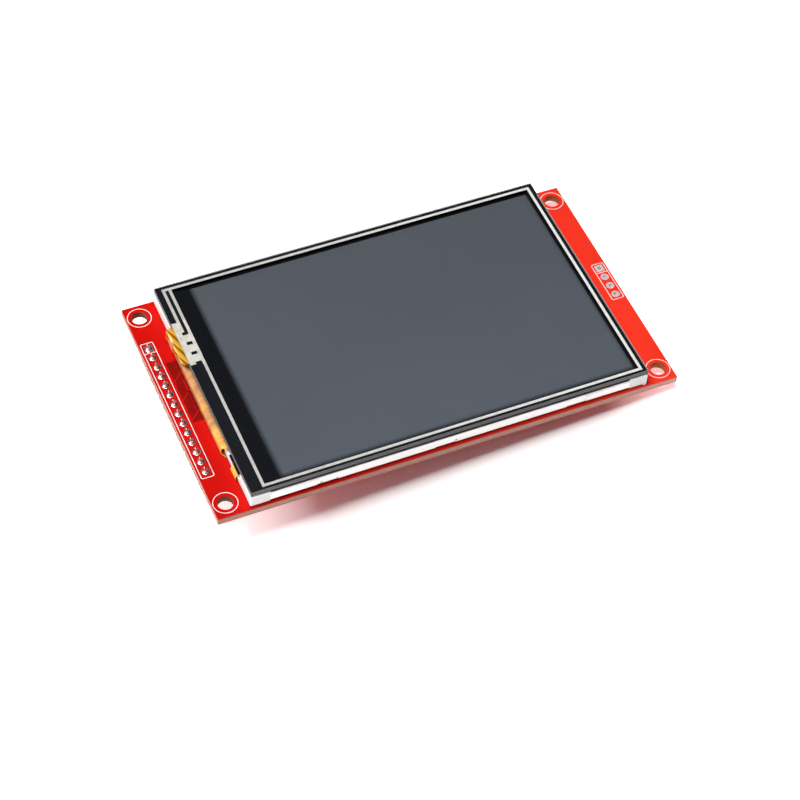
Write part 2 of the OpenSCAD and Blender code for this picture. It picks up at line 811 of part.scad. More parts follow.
// Black insulating rim, cut away where the touch flex is bonded
module touch_spacer() {
    color("black") difference() {
        rim(panel, inset(line_window, -0.05), spacer_z, spacer_t);
        plate([panel[0] - cut, panel[0] + touch_bond + fit_gap / 2, touch_flex_near - fit_gap,
               block_far + fit_gap], spacer_z - cut, spacer_t + 2 * cut);
    }
}

// Silver line round the panel, outer line along the flex end, and the contact block
module silver_tracks() {
    gap_x0 = line_area[0] - silver_gap;
    color("ghostwhite") {
        rim(line_area, line_window, silver_z, silver_t);
        difference() {
            union() {
                plate([outer_line_x, line_area[0] + silver_w, block_near, line_area[3]], silver_z, silver_t);
                plate([panel[0] + 0.1, line_area[0] + silver_w, block_near, block_far], silver_z, silver_t);
            }
            plate([gap_x0, line_area[0], block_far - finger_pitch - 0.5, line_window[3]],
                  silver_z - cut, silver_t + 2 * cut);
            for (i = [1 : 4])
                plate([outer_line_x, line_area[0] - 0.1, block_far - i * finger_pitch - finger_gap,
                       block_far - i * finger_pitch - 0.1], silver_z - cut, silver_t + 2 * cut);
        }
    }
}

module touch_film() {
    color("aliceblue") plate(panel, top_film_z, top_film_t);
}

// Outline of the touch flex seen from the left: wide at the panel, narrow below its shoulder
module touch_flex_outline() {
    top_far = block_far - touch_flex_draw;
    tail_far = touch_tail_near + touch_tail_w;
    polygon([[touch_flex_near, silver_z + cut], [touch_flex_near, spacer_z],
             [touch_tail_near, touch_shoulder_z], [touch_tail_near, -cut], [tail_far, -cut],
             [tail_far, touch_shoulder_z], [top_far, spacer_z], [top_far, silver_z + cut]]);
}

module touch_flex() {
    color("goldenrod") intersection() {
        along_y(touch_flex_near, block_far)
            fold_profile(fold_x, panel[0] + touch_bond, fold_x + touch_flex_run, 0,
                         silver_z, spacer_t, touch_fold_r);
        along_x(fold_x - 5, fold_x + touch_flex_run) touch_flex_outline();
    }
}

// ---- Card socket ----

// Cross-section of the socket's shell: plate, two bends and two side walls
module shell_section() {
    x0 = socket[0];
    x1 = socket[1];
    top = -board_t - 0.1;
    difference() {
        union() {
            translate([x0, socket_z + socket_bend_r]) square([x1 - x0, top - socket_z - socket_bend_r]);
            translate([x0 + socket_bend_r, socket_z]) square([x1 - x0 - 2 * socket_bend_r, top - socket_z]);
            for (x = [x0 + socket_bend_r, x1 - socket_bend_r])
                translate([x, socket_z + socket_bend_r]) circle(socket_bend_r);
        }
        r = socket_bend_r - socket_t;
        translate([x0 + socket_t, socket_z + socket_bend_r]) square([x1 - x0 - 2 * socket_t, socket_h]);
        translate([x0 + socket_bend_r, socket_z + socket_t])
            square([x1 - x0 - 2 * socket_bend_r, socket_h]);
        for (x = [x0 + socket_bend_r, x1 - socket_bend_r])
            translate([x, socket_z + socket_bend_r]) circle(r);
    }
}

// Slot round three sides of a spring tongue in the shell's plate
module tongue_slot(x, y) {
    tongue_w = 2.4;
    tongue_l = 8;
    slot = 0.5;
    rim([x - tongue_w / 2 - slot, x + tongue_w / 2 + slot, y - tongue_l - slot, y + slot],
        [x - tongue_w / 2, x + tongue_w / 2, y - tongue_l - 2 * slot, y], socket_z - cut, 2 * cut);
}

// Solder foot on a side wall, bent outwards onto the board
module shell_foot(x, y, side) {
    foot_l = 2.2;
    foot_w = 1.2;
    plate([min(x, x + side * foot_w), max(x, x + side * foot_w), y - foot_l / 2, y + foot_l / 2],
          -board_t - socket_t, socket_t);
}

module socket_shell() {
    color("silver") difference() {
        union() {
            along_y(socket[2] + 1, socket[3] - 0.2) shell_section();
            for (y = [socket[2] + 3.2, socket[3] - 3.2]) {
                shell_foot(socket[0] + socket_t, y, -1);
                shell_foot(socket[1] - socket_t, y, 1);
            }
        }
        for (x = [socket[0] + 6, socket[1] - 6]) tongue_slot(x, socket[3] - 5);
        // thumb notch in the plate at the mouth
        translate([socket_x, socket[3] + thumb_out, socket_z - cut]) cylinder(r = thumb_r, h = 2 * cut);
    }
}

module socket_body() {
    x0 = socket[0] + socket_t + 0.05;
    x1 = socket[1] - socket_t - 0.05;
    roof = socket_z + socket_t;            // inner face of the shell's plate
    y0 = socket[2];
    y1 = socket[3] - 1.2;
    color("black") difference() {
        union() {
            plate([x0, x1, y0, y1], back_z - socket_floor, socket_floor);
            for (x = [[x0, socket_x - rail_space], [socket_x + rail_space, x1]])
                plate([x[0], x[1], y0 + 1, y1], roof + 0.25, back_z - roof - 0.25);
            for (x = [[x0 + 0.3, socket_x - rail_space], [socket_x + rail_space, x1 - 0.3]])
                plate([x[0], x[1], y0 + 1, y1], roof, back_z - roof);
            plate([x0 + 0.3, x1 - 0.3, y0, y0 + socket_rear], roof, back_z - roof);
        }
        // room for the feet of the shell's walls to bend outwards
        for (y = [y0 + 3.2, socket[3] - 3.2])
            for (x = [x0, x1]) plate([x - 0.3, x + 0.3, y - 1.3, y + 1.3], back_z - socket_t - 0.1, cut);
        // grooves for the contacts, tight in the rear wall and wider in the floor
        at_contacts() {
            plate([-contact_w / 2, contact_w / 2, y0 - cut, y0 + socket_rear + cut],
                  back_z - contact_t - 0.1, cut);
            plate([-groove_w / 2, groove_w / 2, y0 + socket_rear, y0 + socket_rear + contact_reach],
                  back_z - socket_floor - cut, 2 * cut);
        }
    }
}

module at_contacts() {
    for (i = [0 : contact_count - 1])
        translate([socket_x + (i - (contact_count - 1) / 2) * contact_pitch, 0, 0]) children();
}

// Side view of a contact: foot behind the socket, then a beam that rises to a rounded crest
module contact_side() {
    y0 = socket[2] - 1.2;
    y1 = socket[2] + socket_rear;
    y2 = y1 + contact_reach - 2.2;
    y3 = y2 + 1.2;
    z0 = back_z;
    crest = back_z - socket_floor - 0.8;
    t = contact_t;
    polygon([[y0, z0], [y1 + 0.5, z0], [y2, crest], [y3, crest + 0.5], [y3 - 0.1, crest + 0.5 - t],
             [y2, crest - t], [y1 + 0.5, z0 - t], [y0, z0 - t]]);
}

module socket_contacts() {
    color("gold") at_contacts() along_x(-contact_w / 2, contact_w / 2) contact_side();
}

// ---- Chips and chip parts behind the board ----

// Plan of a chip's body, drawn on the back of the board
module chip_body(l, w) {
    difference() {
        plate([-l / 2, l / 2, -w / 2, w / 2], back_z - chip_lift - chip_h, chip_h);
        translate([-l / 2 + 0.8, -w / 2 + 0.8, back_z - chip_lift - chip_h - cut])
            cylinder(d = min(l, w) / 6, h = cut + 0.08);
    }
}

// Gull-wing lead: out of the body's side, down to the board, then flat
module gull_lead(w, wide) {
    mid = back_z - chip_lift - chip_h / 2;
    y = w / 2;
    t = lead_t;
    along_x(-wide / 2, wide / 2) {
        polygon([[y, mid + t / 2], [y + 0.3, mid + t / 2], [y + 0.5, back_z], [y + lead_reach, back_z],
                 [y + lead_reach, back_z - t], [y + 0.5 + t, back_z - t], [y + 0.3 + t, mid - t / 2],
                 [y, mid - t / 2]]);
    }
}

module touch_controller() {
    color("black") translate([chip_pos[0], chip_pos[1], 0]) chip_body(chip_l, chip_w);
}

module controller_leads() {
    color("silver") translate([chip_pos[0], chip_pos[1], 0])
        for (turn = [0, 180], i = [0 : 6 + 1])
            rotate([0, 0, turn]) translate([(i - 3.5) * lead_pitch, 0, 0]) gull_lead(chip_w, lead_w);
}

module voltage_regulator() {
    color("black") translate([regulator_pos[0], regulator_pos[1], 0])
        chip_body(small_chip_l, small_chip_w);
}

module backlight_transistor() {
    color("black") translate([transistor_pos[0], transistor_pos[1], 0])
        chip_body(small_chip_l, small_chip_w);
}

module small_chip_leads() {
    color("silver") for (p = [regulator_pos, transistor_pos]) translate([p[0], p[1], 0]) {
        for (x = [-1, 1] * small_lead_pitch)
            translate([x, 0, 0]) rotate([0, 0, 180]) gull_lead(small_chip_w, small_lead_w);
        gull_lead(small_chip_w, small_lead_w);
    }
}

// Places in rows of chip parts, each row as [x, first y, count]
module at_rows(rows) {
    for (row = rows)
        for (i = [0 : row[2] - 1])
            translate([row[0], row[1] + i * chip_part_pitch, back_z]) children();
}

module chip_part_body(h) {
    half_l = chip_part_l / 2 - end_l;
    plate([-half_l, half_l, -chip_part_w / 2, chip_part_w / 2], -h, h - 0.05);
}

module chip_part_end_pair(h) {
    for (side = [-1, 1]) translate([side * (chip_part_l - end_l) / 2, 0, 0])
        plate([-end_l / 2, end_l / 2, -chip_part_w / 2, chip_part_w / 2], -h, h);
}

module chip_resistors() {
    color("darkslategray") at_rows(resistor_rows) chip_part_body(resistor_h);
}

module chip_capacitors() {
    color("tan") at_rows(capacitor_rows) chip_part_body(capacitor_h);
}

module chip_part_ends() {
    color("silver") {
        at_rows(resistor_rows) chip_part_end_pair(resistor_h);
        at_rows(capacitor_rows) chip_part_end_pair(capacitor_h);
    }
}

circuit_board();
board_print();
header_pads();
header_base();
header_pins();
header_solder();
card_header_pads();
foam_strips();
steel_tray();
reflector_film();
light_guide();
backlight_flex();
backlight_leds();
diffuser_film();
lower_prism_film();
upper_prism_film();
plastic_frame();
rim_tape();
rear_polariser();
tft_glass();
filter_glass();
front_polariser();
driver_chip();
display_flex();
flex_solder();
touch_gasket();
touch_glass();
touch_spacer();
silver_tracks();
touch_film();
touch_flex();
socket_shell();
socket_body();
socket_contacts();
touch_controller();
controller_leads();
voltage_regulator();
backlight_transistor();
small_chip_leads();
chip_resistors();
chip_capacitors();
chip_part_ends();
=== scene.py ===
# Visual model of the tft display module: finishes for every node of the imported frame, with the
# copper tracks, vias, back printing and small solder joints added as meshes.
# Several finishes grow lighter or darker across the module: they hold part of one scene's light.
import json
import math

import bmesh
import bpy
from mathutils import Matrix, Vector


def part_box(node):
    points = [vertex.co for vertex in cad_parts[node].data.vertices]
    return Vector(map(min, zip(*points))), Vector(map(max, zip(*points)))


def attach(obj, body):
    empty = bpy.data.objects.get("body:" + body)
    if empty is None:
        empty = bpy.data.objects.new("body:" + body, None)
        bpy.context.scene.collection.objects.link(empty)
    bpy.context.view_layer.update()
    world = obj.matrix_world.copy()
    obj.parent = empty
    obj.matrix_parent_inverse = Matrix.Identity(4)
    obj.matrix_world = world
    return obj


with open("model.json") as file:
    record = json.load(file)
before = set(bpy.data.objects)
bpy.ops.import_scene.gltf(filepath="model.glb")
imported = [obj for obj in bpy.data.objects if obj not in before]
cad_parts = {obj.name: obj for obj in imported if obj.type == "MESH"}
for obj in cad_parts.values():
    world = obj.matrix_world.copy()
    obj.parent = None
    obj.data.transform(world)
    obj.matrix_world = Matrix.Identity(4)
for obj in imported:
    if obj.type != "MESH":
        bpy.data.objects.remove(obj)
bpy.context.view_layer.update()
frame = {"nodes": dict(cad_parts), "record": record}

NODES = frame["nodes"]
MM = 0.001


# ---- small helpers -------------------------------------------------------------------------

def low(node):
    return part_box(node)[0]


def high(node):
    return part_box(node)[1]


def middle(node):
    return (low(node) + high(node)) / 2


def loose_boxes(node):
    """Box of each separate solid in a node, as (low, high) corners."""
    mesh = bmesh.new()
    mesh.from_mesh(NODES[node].data)
    bmesh.ops.remove_doubles(mesh, verts=mesh.verts, dist=1e-7)
    todo = set(mesh.verts)
    boxes = []
    while todo:
        stack = [todo.pop()]
        found = []
        while stack:
            vert = stack.pop()
            found.append(vert.co.copy())
            for edge in vert.link_edges:
                other = edge.other_vert(vert)
                if other in todo:
                    todo.remove(other)
                    stack.append(other)
        boxes.append((Vector([min(c[i] for c in found) for i in range(3)]),
                      Vector([max(c[i] for c in found) for i in range(3)])))
    mesh.free()
    return sorted(boxes, key=lambda b: (round(b[0].x, 5), round(b[0].y, 5)))


def centre(box):
    """Middle of a (low, high) box on x and y."""
    return (box[0].x + box[1].x) / 2, (box[0].y + box[1].y) / 2


class Builder:
    """Collects verts and faces of one piece."""

    def __init__(self):
        self.verts = []
        self.faces = []

    def add(self, verts, faces):
        first = len(self.verts)
        self.verts += [tuple(v) for v in verts]
        self.faces += [tuple(first + i for i in face) for face in faces]

    def prism(self, outline, z0, z1):
        """Closed prism over a flat outline, from z0 up to z1."""
        count = len(outline)
        ring = range(count)
        verts = [(p[0], p[1], z0) for p in outline] + [(p[0], p[1], z1) for p in outline]
        faces = [tuple(reversed(ring)), tuple(count + i for i in ring)]
        faces += [(i, (i + 1) % count, count + (i + 1) % count, count + i) for i in ring]
        self.add(verts, faces)

    def ribbon(self, points, width, z0, z1):
        """Flat track of constant width along a line of points, with mitred corners."""
        left, right = [], []
        for index, point in enumerate(points):
            here = Vector(point)
            before = (here - Vector(points[index - 1])).normalized() if index else None
            last = index + 1 == len(points)
            after = None if last else (Vector(points[index + 1]) - here).normalized()
            before = before or after
            after = after or before
            side = Vector((-(before + after).y, (before + after).x)).normalized()
            reach = width / 2 / max(0.5, side.dot(Vector((-before.y, before.x))))
            left.append(here + side * reach)
            right.append(here - side * reach)
        count = len(points)
        verts = [(p.x, p.y, z) for z in (z0, z1) for p in left + right]
        top = 2 * count
        faces = []
        for i in range(count - 1):
            a, b, c, d = i, i + 1, count + i + 1, count + i
            faces += [(a, b, c, d), (top + a, top + d, top + c, top + b),
                      (a, top + a, top + b, b), (c, top + c, top + d, d)]
        for i in (0, count - 1):
            a, d = i, count + i
            faces.append((a, d, top + d, top + a) if i == 0 else (d, a, top + a, top + d))
        self.add(verts, faces)

    def dome(self, x, y, z, radius, height, rings=3, sides=14):
        """Low dome of a given height on z, upwards or downwards with the sign of the height."""
        verts = []
        for ring in range(rings):
            angle = math.pi / 2 * ring / rings
            for k in range(sides):
                turn = math.tau * k / sides
                verts.append((x + radius * math.cos(angle) * math.cos(turn),
                              y + radius * math.cos(angle) * math.sin(turn),
                              z + height * math.sin(angle)))
        verts.append((x, y, z + height))
        faces = [tuple(range(sides))]
        for ring in range(rings - 1):
            for k in range(sides):
                a, b = ring * sides + k, ring * sides + (k + 1) % sides
                faces.append((a, b, b + sides, a + sides))
        last = (rings - 1) * sides
        faces += [(last + k, last + (k + 1) % sides, rings * sides) for k in range(sides)]
        self.add(verts, faces)

    def fillet(self, centre, out, width, reach, height, steps=5):
        """Hollow solder fillet behind the board: up a vertical face, then out along the board."""
        out = Vector(out)
        side = Vector((-out.y, out.x, 0))
        verts = []
        for step in range(steps + 1):
            angle = math.pi / 2 * step / steps
            along = reach * (1 - math.sin(angle))
            down = height * (1 - math.cos(angle))
            spread = width / 2 * (1 + 0.25 * along / reach)
            for s in (-1, 1):
                verts.append(centre + out * along + side * s * spread + Vector((0, 0, -down)))
        corner = len(verts)
        for s in (-1, 1):
            verts.append(centre + side * s * width / 2)
        faces = []
        for step in range(steps):
            a = 2 * step
            faces += [(a, a + 1, a + 3, a + 2), (a, a + 2, corner), (a + 1, corner + 1, a + 3)]
        faces += [(0, corner, corner + 1, 1), (2 * steps, 2 * steps + 1, corner + 1, corner)]
        self.add(verts, faces)

    def finish(self, name, slot, material, smooth=False):
        mesh = bpy.data.meshes.new(name)
        mesh.from_pydata(self.verts, [], self.faces)
        work = bmesh.new()
        work.from_mesh(mesh)
        bmesh.ops.recalc_face_normals(work, faces=work.faces)
        work.to_mesh(mesh)
        work.free()
        for polygon in mesh.polygons:
            polygon.use_smooth = smooth
        mesh.materials.append(material)
        piece = bpy.data.objects.new(name, mesh)
        bpy.context.scene.collection.objects.link(piece)
        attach(piece, "root")
        return piece


# ---- materials -----------------------------------------------------------------------------

class Maker:
    """Builds one procedural material around a Principled shader."""

    def __init__(self, name, color, rough=0.5, metal=0.0, **sockets):
        self.material = bpy.data.materials.new(name)
        self.material.use_nodes = True
        self.tree = self.material.node_tree
        self.shader = self.tree.nodes["Principled BSDF"]
        self.shader.inputs["Base Color"].default_value = (*color, 1)
        self.shader.inputs["Roughness"].default_value = rough
        self.shader.inputs["Metallic"].default_value = metal
        for key, value in sockets.items():
            self.shader.inputs[key.replace("_", " ")].default_value = value
        self.color = color
        self.rough = rough
        self.position = self.node("ShaderNodeTexCoord").outputs["Object"]

    def node(self, kind, **inputs):
        made = self.tree.nodes.new(kind)
        for key, value in inputs.items():
            made.inputs[key.replace("_", " ")].default_value = value
        return made

    def link(self, out, to):
        self.tree.links.new(out, to)

    def scaled(self, scale):
        """Object position, stretched by a different factor on each axis."""
        mapping = self.node("ShaderNodeMapping")
        mapping.inputs["Scale"].default_value = scale
        self.link(self.position, mapping.inputs["Vector"])
        return mapping.outputs["Vector"]

    def noise(self, scale, detail=3.0, stretch=(1, 1, 1)):
        made = self.node("ShaderNodeTexNoise", Scale=scale, Detail=detail)
        self.link(self.scaled(stretch), made.inputs["Vector"])
        return made.outputs["Fac"]

    def span(self, value, low_out, high_out, low_in=0.3, high_in=0.7):
        made = self.node("ShaderNodeMapRange")
        made.inputs["From Min"].default_value = low_in
        made.inputs["From Max"].default_value = high_in
        made.inputs["To Min"].default_value = low_out
        made.inputs["To Max"].default_value = high_out
        self.link(value, made.inputs["Value"])
        return made.outputs["Result"]

    def mix(self, factor, a, b):
        """Colour a where the factor is 0 and b where it is 1; each a colour or an output."""
        made = self.node("ShaderNodeMix")
        made.data_type = "RGBA"
        self.link(factor, made.inputs[0])
        for index, value in ((6, a), (7, b)):
            if isinstance(value, tuple):
                made.inputs[index].default_value = (*value, 1)
            else:
                self.link(value, made.inputs[index])
        return made.outputs[2]

    def ramp(self, value, *stops):
        """Colour that follows a value through (place, colour) stops."""
        made = self.node("ShaderNodeValToRGB")
        elements = made.color_ramp.elements
        while len(elements) < len(stops):
            elements.new(0.5)
        for element, (place, color) in zip(elements, stops):
            element.position = place
            element.color = (*color, 1)
        self.link(value, made.inputs["Fac"])
        return made.outputs["Color"]

    def math(self, operation, a, b=0.0):
        made = self.node("ShaderNodeMath")
        made.operation = operation
        for index, value in ((0, a), (1, b)):
            if isinstance(value, (int, float)):
                made.inputs[index].default_value = value
            else:
                self.link(value, made.inputs[index])
        return made.outputs[0]

    def axis(self, letter):
        made = self.node("ShaderNodeSeparateXYZ")
        self.link(self.position, made.inputs[0])
        return made.outputs[letter]

    def facing(self, letter):
        """How far a face looks along an axis, from -1 to 1."""
        geometry = self.node("ShaderNodeNewGeometry")
        parts = self.node("ShaderNodeSeparateXYZ")
        self.link(geometry.outputs["Normal"], parts.inputs[0])
        return parts.outputs[letter]

    def upright(self):
        """1 on faces that stand upright, 0 on flat ones."""
        return self.span(self.math("ABSOLUTE", self.facing("Z")), 1.0, 0.0, 0.45, 0.55)

    def inside(self, letter, start, end, soft):
        """1 between start and end along an axis, falling to 0 over a soft edge."""
        rise = self.span(self.axis(letter), 0.0, 1.0, start - soft, start + soft)
        fall = self.span(self.axis(letter), 1.0, 0.0, end - soft, end + soft)
        return self.math("MULTIPLY", rise, fall)

    def box_mask(self, x0, x1, y0, y1, soft):
        return self.math("MULTIPLY", self.inside("X", x0, x1, soft), self.inside("Y", y0, y1, soft))

    def paint(self, color_output):
        self.link(color_output, self.shader.inputs["Base Color"])

    def roughen(self, scale, spread, stretch=(1, 1, 1)):
        value = self.span(self.noise(scale, 4.0, stretch), self.rough - spread, self.rough + spread)
        self.link(value, self.shader.inputs["Roughness"])

    def bump(self, height, strength, distance):
        made = self.node("ShaderNodeBump", Strength=strength, Distance=distance)
        self.link(height, made.inputs["Height"])
        self.link(made.outputs["Normal"], self.shader.inputs["Normal"])

    def mottle(self, scale, amount, stretch=(1, 1, 1)):
        """Slight variation of the base colour."""
        dark = tuple(c * (1 - amount) for c in self.color)
        light = tuple(min(1.0, c * (1 + amount)) for c in self.color)
        self.paint(self.mix(self.span(self.noise(scale, 4.0, stretch), 0.0, 1.0), dark, light))


def finish_material(color, rough, metal=0.0, grain=900.0, spread=0.06, mottle=0.06, bump=0.12,
                    depth=0.00002, stretch=(1, 1, 1), name="finish", **sockets):
    """A plain finish: fine grain in colour, roughness and surface."""
    maker = Maker(name, color, rough, metal, **sockets)
    maker.mottle(grain * 0.35, mottle, stretch)
    maker.roughen(grain * 0.6, spread, stretch)
    maker.bump(maker.noise(grain, 5.0, stretch), bump, depth)
    return maker.material


def solder_mask(name, raised):
    """Red solder mask, darker over bare laminate, with tan cut edges.

    The colours grow lighter from the board's left end to its right end, on the mask, the cut
    edges and the hole walls alike: painted light and shade. The raised kind, for tracks and vias,
    has darker relief behind the board.
    """
    maker = Maker(name, (0.80, 0.010, 0.006), 0.40, Specular_IOR_Level=0.08)
    along = maker.span(maker.axis("X"), 0.0, 1.0, low("circuit_board").x, high("circuit_board").x)
    cloud = maker.span(maker.noise(60.0, 3.0), 0.0, 1.0)
    # painted light and shade: the mask is darker at the left end and lighter at the right end
    left = maker.mix(cloud, (0.49, 0.002, 0.001), (0.57, 0.003, 0.0015))
    right = maker.mix(cloud, (0.82, 0.030, 0.014), (0.90, 0.040, 0.018))
    copper = maker.mix(along, left, right)
    front = maker.span(maker.facing("Z"), 0.0, 1.0, -0.1, 0.1)
    if raised:
        relief = maker.span(maker.noise(700.0, 2.0), 0.35, 0.55, 0.0, 1.0)
        track = maker.mix(front, maker.mix(relief, copper, (0.24, 0.003, 0.002)), copper)
        patch = maker.math("MULTIPLY", front, maker.box_mask(*BARE, 0.6 * MM))
        maker.paint(maker.mix(patch, track, (0.42, 0.006, 0.004)))
    else:
        weave = maker.span(maker.noise(900.0, 3.0), 0.0, 1.0)
        bare = maker.mix(weave, (0.19, 0.002, 0.0015), (0.25, 0.003, 0.002))
        patch = maker.math("MULTIPLY", front, maker.box_mask(*BARE, 0.06 * MM))
        mask = maker.mix(patch, copper, bare)
        edge = maker.mix(maker.span(maker.noise(1500.0, 2.0, (1, 1, 6)), 0.0, 1.0),
                         (0.36, 0.19, 0.15), (0.46, 0.26, 0.21))
        # painted light: the cut edges grow lighter towards the right end
        edge = maker.mix(along, edge, (0.62, 0.34, 0.28))
        # painted shade: the hole walls are darker at the left end
        wall = maker.mix(along, maker.mix(weave, (0.14, 0.05, 0.03), (0.19, 0.07, 0.04)),
                         maker.mix(weave, (0.40, 0.14, 0.05), (0.52, 0.21, 0.08)))
        rim = 0.4 * MM          # what counts as the board's outer edge, not a hole's wall
        inner = maker.box_mask(low("circuit_board").x + rim, high("circuit_board").x - rim,
                               low("circuit_board").y + rim, high("circuit_board").y - rim,
                               0.1 * MM)
        cut = maker.mix(inner, edge, wall)
        back = low("circuit_board").z
        skin = maker.math("MAXIMUM", maker.span(maker.axis("Z"), 0.0, 0.85, -0.35 * MM, 0.0),
                          maker.span(maker.axis("Z"), 0.6, 0.0, back, back + 0.3 * MM))
        cut = maker.mix(skin, cut, (0.40, 0.02, 0.012))
        maker.paint(maker.mix(maker.upright(), mask, cut))
        maker.link(maker.span(maker.upright(), 0.40, 0.75, 0.0, 1.0), maker.shader.inputs["Roughness"])
    maker.bump(maker.noise(2500.0, 3.0), 0.10, 0.00002)
    return maker.material


def screen():
    """Front polariser: grey over the active area, lighter towards the near edge as painted light, near
    black round it.
    """
    maker = Maker("screen_grey", (0.10, 0.11, 0.12), 0.45, Specular_IOR_Level=0.2)
    cloud = maker.span(maker.noise(25.0, 2.0), 0.0, 1.0)
    # painted light: the grey is lighter at the near edge than at the far edge
    far = maker.mix(cloud, (0.120, 0.130, 0.151), (0.128, 0.139, 0.160))
    near = maker.mix(cloud, (0.130, 0.148, 0.175), (0.139, 0.157, 0.185))
    grey = maker.mix(maker.span(maker.axis("Y"), 0.0, 1.0, ACTIVE[3], ACTIVE[2]), far, near)
    maker.paint(maker.mix(maker.box_mask(*ACTIVE, 0.6 * MM), (0.0018, 0.0032, 0.0065), grey))
    maker.roughen(3000.0, 0.04)
    maker.bump(maker.noise(9000.0, 2.0), 0.05, 0.000004)
    return maker.material


def clear_sheet(name, tint, gloss, mirror, cut_color, painted_highlight_strip, dark_below):
    """Thin clear sheet with frosted cut edges, dark below a height, and perhaps a painted highlight
    strip.

    The mirror value is how much it reflects face on; the reflection rises towards a low angle.
    """
    maker = Maker(name, (0.02, 0.02, 0.02), gloss)
    slant = maker.node("ShaderNodeLayerWeight", Blend=0.5)
    fresnel = maker.math("POWER", slant.outputs["Facing"], 5.0)
    fresnel = maker.span(fresnel, mirror, 1.0, 0.0, 1.0)
    clear = maker.node("ShaderNodeBsdfTransparent")
    clear.inputs["Color"].default_value = (*tint, 1)
    glossy = maker.node("ShaderNodeBsdfGlossy", Roughness=gloss)
    surface = maker.node("ShaderNodeMixShader")
    maker.link(fresnel, surface.inputs["Fac"])
    maker.link(clear.outputs[0], surface.inputs[1])
    maker.link(glossy.outputs[0], surface.inputs[2])
    grain = maker.span(maker.noise(1800.0, 3.0, (1, 1, 3)), 0.0, 1.0)
    dull = tuple(c * 0.8 for c in cut_color)
    above = maker.span(maker.axis("Z"), 0.0, 1.0, dark_below - 0.05 * MM,
                       dark_below + 0.05 * MM)
    maker.paint(maker.mix(above, (0.006, 0.006, 0.008), maker.mix(grain, dull, cut_color)))
    maker.link(maker.span(grain, 0.5, 0.7, 0.0, 1.0), maker.shader.inputs["Roughness"])
    frosted = maker.upright()
    # painted highlight: the strip gets the pale cut-edge finish, as if the edge caught the light
    if painted_highlight_strip:
        frosted = maker.math("MAXIMUM", frosted, maker.box_mask(*painted_highlight_strip, 0.04 * MM))
    whole = maker.node("ShaderNodeMixShader")
    maker.link(frosted, whole.inputs["Fac"])
    maker.link(surface.outputs[0], whole.inputs[1])
    maker.link(maker.shader.outputs[0], whole.inputs[2])
    bump = maker.node("ShaderNodeBump", Strength=0.03, Distance=0.00001)
    maker.link(maker.noise(300.0, 2.0), bump.inputs["Height"])
    maker.link(bump.outputs[0], glossy.inputs["Normal"])
    maker.link(whole.outputs[0], maker.tree.nodes["Material Output"].inputs["Surface"])
    return maker.material


def silver_print():
    """Printed silver: lines that go from grey at the left to pale at the right, which is painted light,
    and a grainy pad where the flex is bonded."""
    maker = Maker("silver_ink", (0.9, 0.9, 0.86), 0.5)
    flex_low, flex_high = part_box("touch_flex")
    block = maker.box_mask(-1.0, low("touch_spacer").x + 4.4 * MM, flex_low.y - 0.8 * MM,
                           flex_high.y + 0.4 * MM, 0.1 * MM)
    grain = maker.span(maker.noise(1500.0, 4.0), 0.0, 1.0)
    # painted light: the lines go from grey at the left to pale at the right
    along = maker.span(maker.axis("X"), 0.0, 1.0, low("touch_spacer").x, high("touch_spacer").x)
    line = maker.mix(along, maker.mix(grain, (0.50, 0.49, 0.47), (0.62, 0.61, 0.58)),
                     maker.mix(grain, (0.78, 0.77, 0.73), (0.88, 0.87, 0.83)))
    pad = maker.mix(grain, (0.56, 0.54, 0.48), (0.80, 0.77, 0.70))
    maker.paint(maker.mix(block, line, pad))
    maker.roughen(900.0, 0.08)
    maker.bump(maker.noise(2500.0, 3.0), 0.2, 0.00002)
    return maker.material


def golden_flex():
    """Golden flex: glossy amber film over tracks that sweep down and across the fold."""
    maker = Maker("gold_flex", (0.75, 0.38, 0.03), 0.20, 0.15, Coat_Weight=0.8, Coat_Roughness=0.06)
    slope = 2.3             # how far the tracks slant along Y for each step along X and Z
    period = 3.8 * MM       # from one track to the next
    down = maker.math("MULTIPLY", maker.math("ADD", maker.axis("X"), maker.axis("Z")), slope)
    wander = maker.math("MULTIPLY", maker.noise(300.0, 2.0), 0.8 * MM)
    place = maker.math("ADD", maker.math("ADD", maker.axis("Y"), down), wander)
    turn = maker.math("FRACT", maker.math("ADD", maker.math("DIVIDE", place, period), 0.35))
    stripes = maker.ramp(turn, (0.0, (0.13, 0.045, 0.004)), (0.14, (0.45, 0.16, 0.008)),
                         (0.34, (0.80, 0.50, 0.05)), (0.52, (0.62, 0.26, 0.014)),
                         (0.66, (0.74, 0.40, 0.025)), (0.84, (0.40, 0.14, 0.008)),
                         (1.0, (0.12, 0.04, 0.004)))
    fold = low("touch_flex").x
    edge = high("touch_flex").y
    # painted highlight: a pale glare on the fold, near the far edge
    turned = maker.span(maker.axis("X"), 1.0, 0.0, fold, fold + 0.4 * MM)
    far = maker.inside("Y", edge - 3.8 * MM, edge - 2.2 * MM, 0.6 * MM)
    painted_glare = maker.math("MULTIPLY", maker.math("MULTIPLY", turned, far), 0.8)
    maker.paint(maker.mix(painted_glare, stripes, (0.92, 0.70, 0.50)))
    maker.roughen(800.0, 0.06)
    maker.bump(maker.noise(350.0, 2.0), 0.35, 0.0001)
    return maker.material


